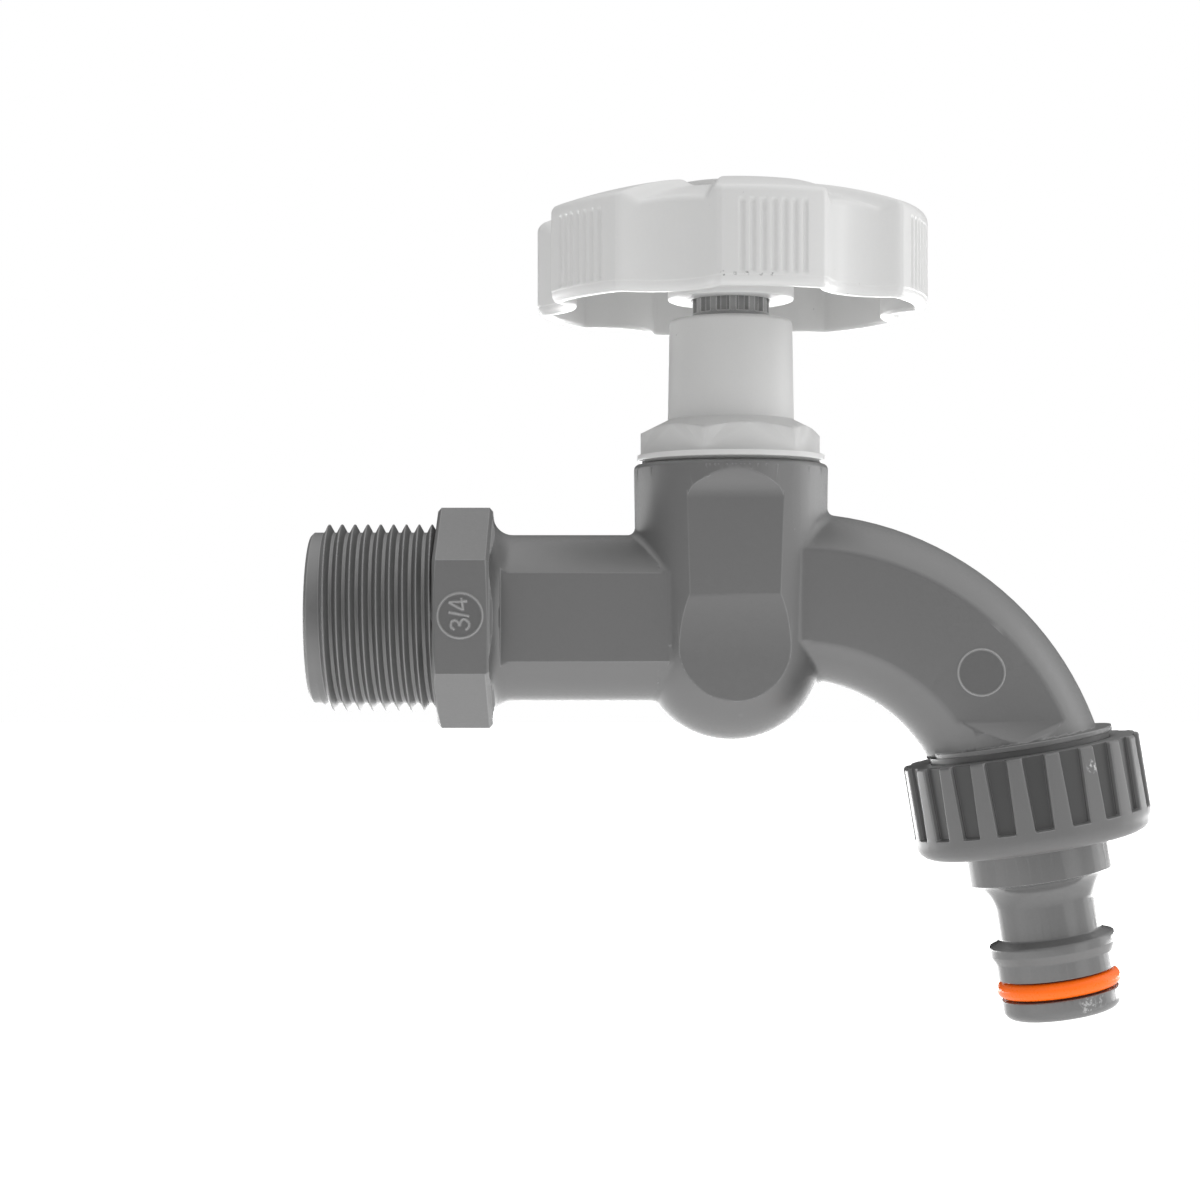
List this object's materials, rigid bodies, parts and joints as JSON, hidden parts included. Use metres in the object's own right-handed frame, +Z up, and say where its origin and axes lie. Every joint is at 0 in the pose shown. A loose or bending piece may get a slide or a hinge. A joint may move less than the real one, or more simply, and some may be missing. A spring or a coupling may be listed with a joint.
{
  "type": "bib tap",
  "caption": "Plastic garden bib tap with a threaded inlet and hexagon flange, curved spout, lobed white handwheel on a rising spindle, and a ribbed hose connector with an orange seal.",
  "frame": {"origin": "on the inlet thread's axis, at the wall-side face of the hexagon flange", "axes": "+X away from the wall towards the spout, +Z up along the valve axis, -X into the wall fitting; the handwheel is above"},
  "size_m": [0.1182, 0.0554, 0.1187],
  "materials": {
    "body_grey": "fine satin grain",
    "connector_grey": "satin, glossier on the nipple",
    "spindle_grey": "satin",
    "bonnet_white": "satin",
    "wheel_white": "satin",
    "cap_white": "satin",
    "plug_white": "satin",
    "ring_orange": "smooth rubber",
    "seal_black": "smooth rubber",
    "washer_grey": "smooth rubber",
    "fixing_steel": "plain turned steel"
  },
  "bodies": {
    "tap": {"tap_body": "body_grey", "bonnet": "bonnet_white", "bonnet_seal": "seal_black"},
    "valve": {"valve_plug": "plug_white", "valve_washer": "seal_black", "valve_washer_plate": "fixing_steel", "valve_washer_screw": "fixing_steel"},
    "wheel_group": {"spindle": "spindle_grey", "spindle_oring_lower": "seal_black", "spindle_oring_upper": "seal_black", "handwheel": "wheel_white", "handwheel_screw": "fixing_steel", "handwheel_screw_washer": "fixing_steel", "handwheel_cap": "cap_white"},
    "nut_washer": {"connector_washer": "washer_grey"},
    "connector": {"hose_connector": "connector_grey", "connector_oring": "ring_orange"}
  },
  "joints": [
    {"name": "valve_lift", "type": "slide", "parent": "tap", "child": "valve", "axis": [0, 0, 1], "range_m": [0, 0.006]},
    {"name": "handwheel_turn", "type": "hinge", "parent": "valve", "child": "wheel_group", "pos_m": [0.0414, 0, 0.05], "axis": [0, 0, 1], "range_deg": [0, 1080.5]},
    {"name": "connector_travel", "type": "slide", "parent": "tap", "child": "nut_washer", "axis": [0.165, 0, -0.9863], "range_m": [0, 0.00726]},
    {"name": "connector_turn", "type": "hinge", "parent": "nut_washer", "child": "connector", "pos_m": [0.08372, 0, -0.02726], "axis": [0.165, 0, -0.9863], "range_deg": [0, 1440.5]}
  ],
  "couplings": [
    {"joint": "handwheel_turn", "follows": "valve_lift", "rad_per_m": 3141.6},
    {"joint": "connector_turn", "follows": "connector_travel", "rad_per_m": 3463.7}
  ]
}
